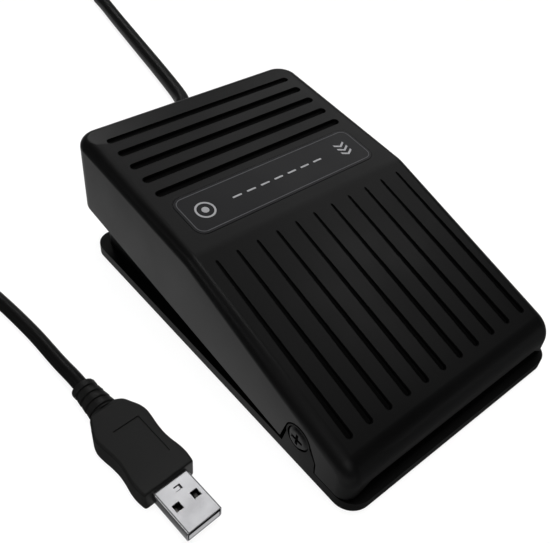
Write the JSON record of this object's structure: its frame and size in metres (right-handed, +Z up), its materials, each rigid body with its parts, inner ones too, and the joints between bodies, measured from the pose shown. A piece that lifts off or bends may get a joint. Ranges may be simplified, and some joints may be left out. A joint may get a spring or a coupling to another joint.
{
  "type": "foot pedal switch",
  "caption": "Foot pedal switch: a sprung, ribbed plastic treadle rocking on a flat base tray, with a snap switch and board inside, and a cord that ends in a flat computer plug.",
  "frame": {"origin": "on the floor under the feet, in the middle of the pedal's width and length", "axes": "+X to the right seen from the toe end, +Y from the toe end to the rear where the cord leaves, +Z up"},
  "size_m": [0.1886, 0.3911, 0.048],
  "materials": {
    "shell_abs": "fine spark-textured black ABS",
    "tray_abs": "matt black ABS",
    "label": "satin dark grey polycarbonate film with a pale printed border",
    "rubber": "matt black rubber",
    "plated_steel": "nickel-plated steel",
    "spring_steel": "drawn spring steel, lightly oiled",
    "nylon": "natural nylon",
    "tongue_black": "moulded black nylon",
    "board": "green solder mask",
    "chip_epoxy": "black moulding compound",
    "capacitor_sleeve": "shrink sleeve",
    "wire_pvc": "coloured wire insulation",
    "brass": "bright, gold flashed",
    "plunger_red": "moulded acetal",
    "cord_pvc": "satin black PVC",
    "tie_rubber": "matt black strap",
    "black_screw": "black-finished steel"
  },
  "bodies": {
    "base": {"base_tray": "tray_abs", "cable_clamp": "tray_abs", "rubber_feet": "rubber", "stop_bumpers": "rubber", "cord_grommet": "rubber", "board_screws": "plated_steel", "clamp_screws": "plated_steel", "crystal_can": "plated_steel", "plug_shell": "plated_steel", "return_spring": "spring_steel", "pivot_bushes": "nylon", "cable_header": "nylon", "header_plug": "nylon", "plug_tongue": "tongue_black", "circuit_board": "board", "controller_chip": "chip_epoxy", "switch_body": "chip_epoxy", "capacitor": "capacitor_sleeve", "wire_leads": "wire_pvc", "switch_terminals": "brass", "plug_contacts": "brass", "cord_lead": "cord_pvc", "cord_coil": "cord_pvc", "cord_tail": "cord_pvc", "plug_boot": "cord_pvc", "plug_grip": "cord_pvc", "coil_tie": "tie_rubber"},
    "treadle": {"treadle": "shell_abs", "label_plate": "label", "pivot_screws": "black_screw"},
    "lever": {"switch_lever": "spring_steel"},
    "plunger": {"switch_plunger": "plunger_red"}
  },
  "joints": [
    {"name": "treadle_hinge", "type": "hinge", "parent": "base", "child": "treadle", "pos_m": [0, -0.0505, 0.0127], "axis": [-1, 0, 0], "range_deg": [0, 5.5], "stiffness_Nm_per_rad": 6, "springref_deg": -5.73, "deforming": ["return_spring"]},
    {"name": "lever_hinge", "type": "hinge", "parent": "base", "child": "lever", "pos_m": [0, -0.0013, 0.0206], "axis": [1, 0, 0], "range_deg": [0, 11.46]},
    {"name": "plunger_slide", "type": "slide", "parent": "base", "child": "plunger", "axis": [0, 0, -1], "range_m": [0, 0.001]}
  ],
  "couplings": [
    {"joint": "lever_hinge", "follows": "treadle_hinge", "ratio": 2.0825},
    {"joint": "plunger_slide", "follows": "treadle_hinge", "m_per_rad": 0.010343}
  ]
}
